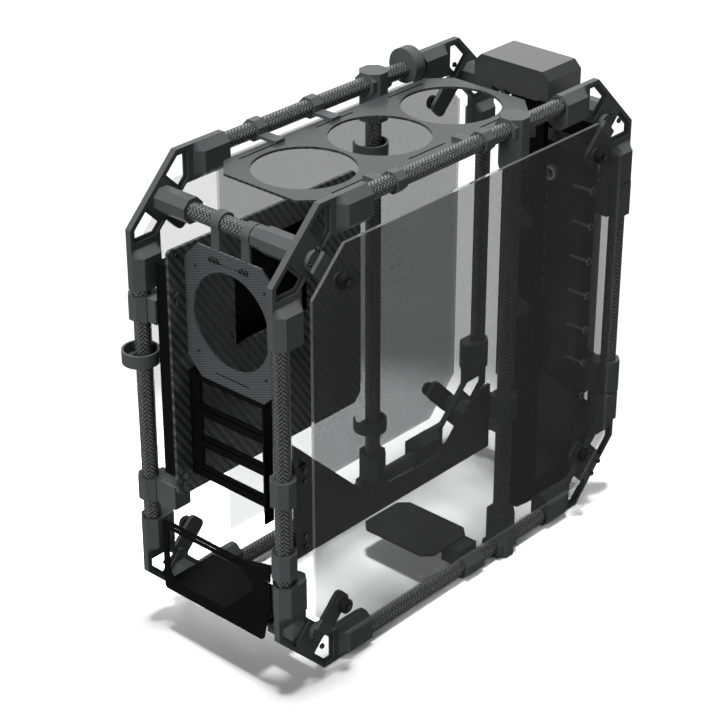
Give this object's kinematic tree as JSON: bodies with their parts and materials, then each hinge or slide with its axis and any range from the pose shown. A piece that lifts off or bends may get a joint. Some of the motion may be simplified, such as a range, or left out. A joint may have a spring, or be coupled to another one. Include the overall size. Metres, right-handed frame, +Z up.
{
  "type": "open air test bench",
  "caption": "Open frame for computer parts: carbon tubes in windowed corner brackets, carbon fan plates, a board tray, an expansion slot bracket and clear side panels on knobs.",
  "frame": {"origin": "centre of the footprint on the floor, the bottom centre of the whole bench", "axes": "+X from the rear, where the expansion slots are, towards the front; +Y across the frame from the window side to the board tray side; +Z up"},
  "size_m": [0.6424, 0.272, 0.6025],
  "materials": {
    "satin_grey": "satin dark grey coating on machined metal",
    "carbon_braid": "braided carbon fibre in clear resin, semi gloss",
    "carbon_twill": "carbon fibre sheet with a diagonal twill, semi gloss",
    "smoked_clear": "smoked clear sheet",
    "clear": "clear polished block",
    "black_knob": "matte black",
    "bright_screw": "bright plated steel",
    "matte_black": "matte black powder coat on sheet steel"
  },
  "bodies": {
    "root": {"arms_far": "satin_grey", "arms_near": "satin_grey", "board_tray": "carbon_twill", "box_clamps": "satin_grey", "bracket_far_front_bottom": "satin_grey", "bracket_far_front_top": "satin_grey", "bracket_far_rear_bottom": "satin_grey", "bracket_far_rear_top": "satin_grey", "bracket_near_front_bottom": "satin_grey", "bracket_near_front_top": "satin_grey", "bracket_near_rear_bottom": "satin_grey", "bracket_near_rear_top": "satin_grey", "clear_block": "clear", "cross_collar": "satin_grey", "cross_tube_front_bottom": "carbon_braid", "cross_tube_front_top": "carbon_braid", "cross_tube_rear_bottom": "carbon_braid", "cross_tube_rear_top": "carbon_braid", "fan_straps": "satin_grey", "front_collars": "satin_grey", "front_fan_plate": "carbon_twill", "front_rail": "matte_black", "front_side_plate": "carbon_twill", "guide_rings": "satin_grey", "knobs_far": "black_knob", "knobs_near": "black_knob", "panel_far": "smoked_clear", "panel_near": "smoked_clear", "port_fitting": "bright_screw", "post_bases": "satin_grey", "post_far": "carbon_braid", "post_heads": "satin_grey", "post_near": "carbon_braid", "pump_block": "satin_grey", "pump_plate": "carbon_twill", "rear_fan_plate": "carbon_twill", "side_collar_post": "satin_grey", "side_collars": "satin_grey", "side_plate": "carbon_twill", "slot_bracket": "matte_black", "supply_bracket": "matte_black", "supply_clamps": "satin_grey", "top_box": "matte_black", "top_clamps": "satin_grey", "top_fan_plate": "carbon_twill", "tray_arms": "satin_grey", "tray_cover": "matte_black", "tube_far_bottom": "carbon_braid", "tube_far_front": "carbon_braid", "tube_far_rear": "carbon_braid", "tube_far_top": "carbon_braid", "tube_near_bottom": "carbon_braid", "tube_near_front": "carbon_braid", "tube_near_rear": "carbon_braid", "tube_near_top": "carbon_braid"}
  },
  "joints": []
}
